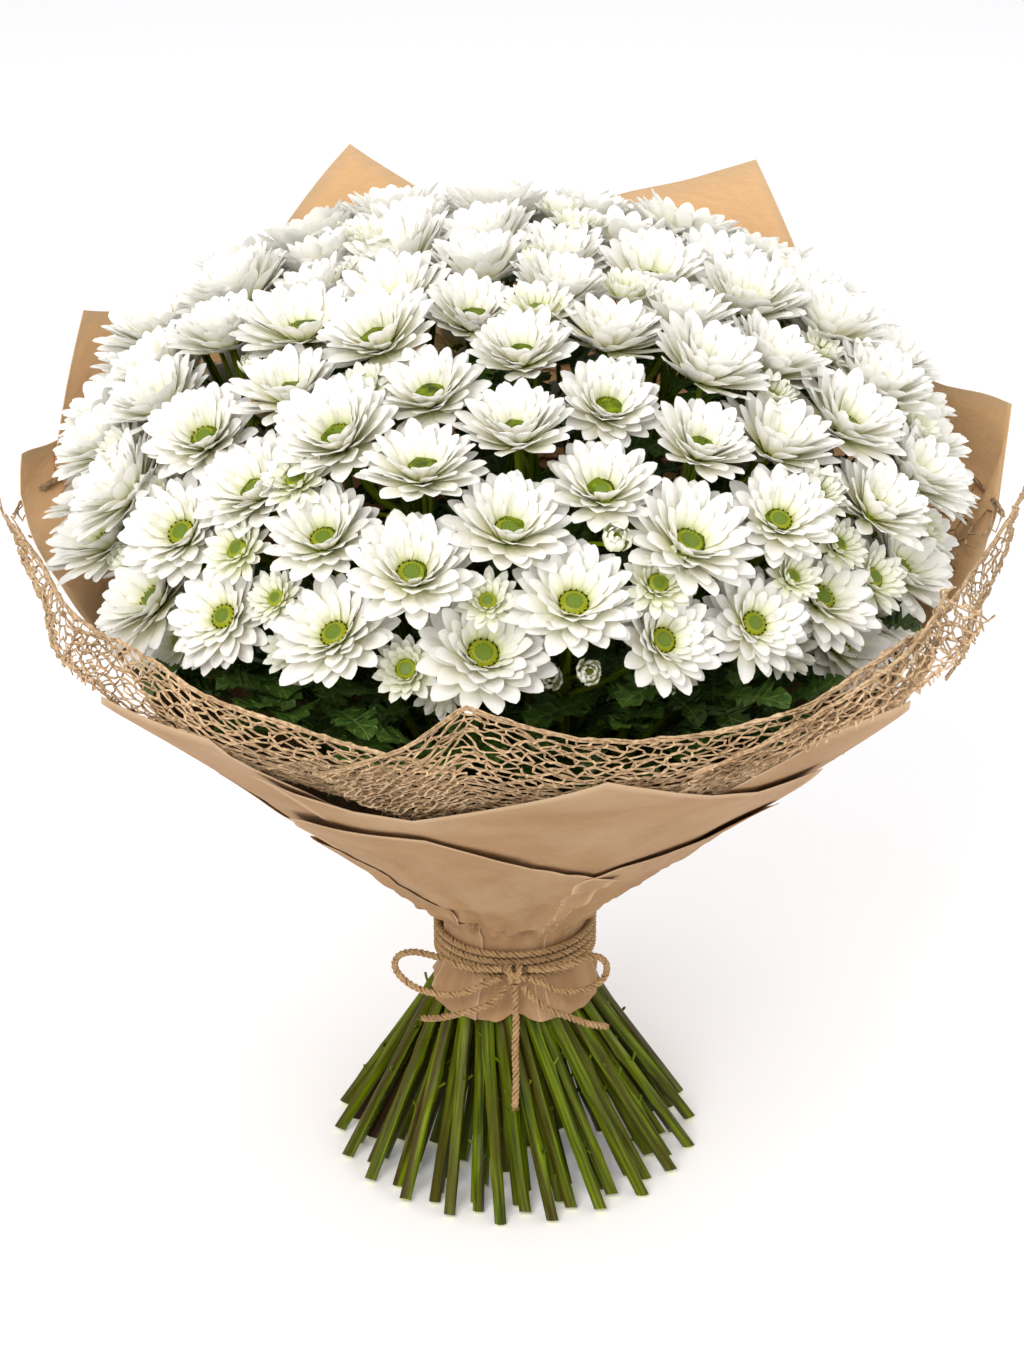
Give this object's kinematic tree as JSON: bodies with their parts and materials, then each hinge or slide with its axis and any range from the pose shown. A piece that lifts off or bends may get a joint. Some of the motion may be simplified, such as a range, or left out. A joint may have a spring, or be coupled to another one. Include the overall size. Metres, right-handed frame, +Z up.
{
  "type": "bunch of chrysanthemums",
  "caption": "Hand-tied bunch of white spray chrysanthemums in kraft paper and a natural net collar, tied with jute twine and standing on its cut stems.",
  "frame": {"origin": "on the surface that the bunch stands on, under the middle of the tie and of the whole outline; the cut stem ends all lie in z = 0, within 100 mm of it", "axes": "+Z up along the bunch from the cut stems to the flowers; -Y is the front, where the bow is; +X to the right seen from the front"},
  "size_m": [0.5248, 0.5237, 0.5122],
  "materials": {
    "stems_and_flowers": "fresh green stems with white ray petals and yellow-green discs",
    "kraft_paper": "unbleached brown kraft paper, matte, lightly creased",
    "net_fibre": "open net of natural fibre with frayed edges",
    "jute_twine": "twisted jute with loose hairs"
  },
  "bodies": {
    "root": {"spray_01": "stems_and_flowers", "spray_02": "stems_and_flowers", "spray_03": "stems_and_flowers", "spray_04": "stems_and_flowers", "spray_05": "stems_and_flowers", "spray_06": "stems_and_flowers", "spray_07": "stems_and_flowers", "spray_08": "stems_and_flowers", "spray_09": "stems_and_flowers", "spray_10": "stems_and_flowers", "spray_11": "stems_and_flowers", "spray_12": "stems_and_flowers", "spray_13": "stems_and_flowers", "spray_14": "stems_and_flowers", "spray_15": "stems_and_flowers", "spray_16": "stems_and_flowers", "spray_17": "stems_and_flowers", "spray_18": "stems_and_flowers", "spray_19": "stems_and_flowers", "spray_20": "stems_and_flowers", "spray_21": "stems_and_flowers", "spray_22": "stems_and_flowers", "spray_23": "stems_and_flowers", "spray_24": "stems_and_flowers", "spray_25": "stems_and_flowers", "spray_26": "stems_and_flowers", "spray_27": "stems_and_flowers", "spray_28": "stems_and_flowers", "spray_29": "stems_and_flowers", "spray_30": "stems_and_flowers", "spray_31": "stems_and_flowers", "spray_32": "stems_and_flowers", "spray_33": "stems_and_flowers", "spray_34": "stems_and_flowers", "spray_35": "stems_and_flowers", "spray_36": "stems_and_flowers", "spray_37": "stems_and_flowers", "spray_38": "stems_and_flowers", "spray_39": "stems_and_flowers", "spray_40": "stems_and_flowers", "spray_41": "stems_and_flowers", "spray_42": "stems_and_flowers", "spray_43": "stems_and_flowers", "spray_44": "stems_and_flowers", "kraft_left_upper": "kraft_paper", "kraft_back_right": "kraft_paper", "kraft_left": "kraft_paper", "kraft_back_left": "kraft_paper", "kraft_right": "kraft_paper", "kraft_front_centre": "kraft_paper", "kraft_front_left": "kraft_paper", "kraft_front_right": "kraft_paper", "net_collar": "net_fibre", "twine_turns": "jute_twine", "twine_knot": "jute_twine", "bow_loop_left": "jute_twine", "bow_loop_right": "jute_twine", "bow_tail_left": "jute_twine", "bow_tail_centre": "jute_twine", "bow_tail_right": "jute_twine"}
  },
  "joints": []
}
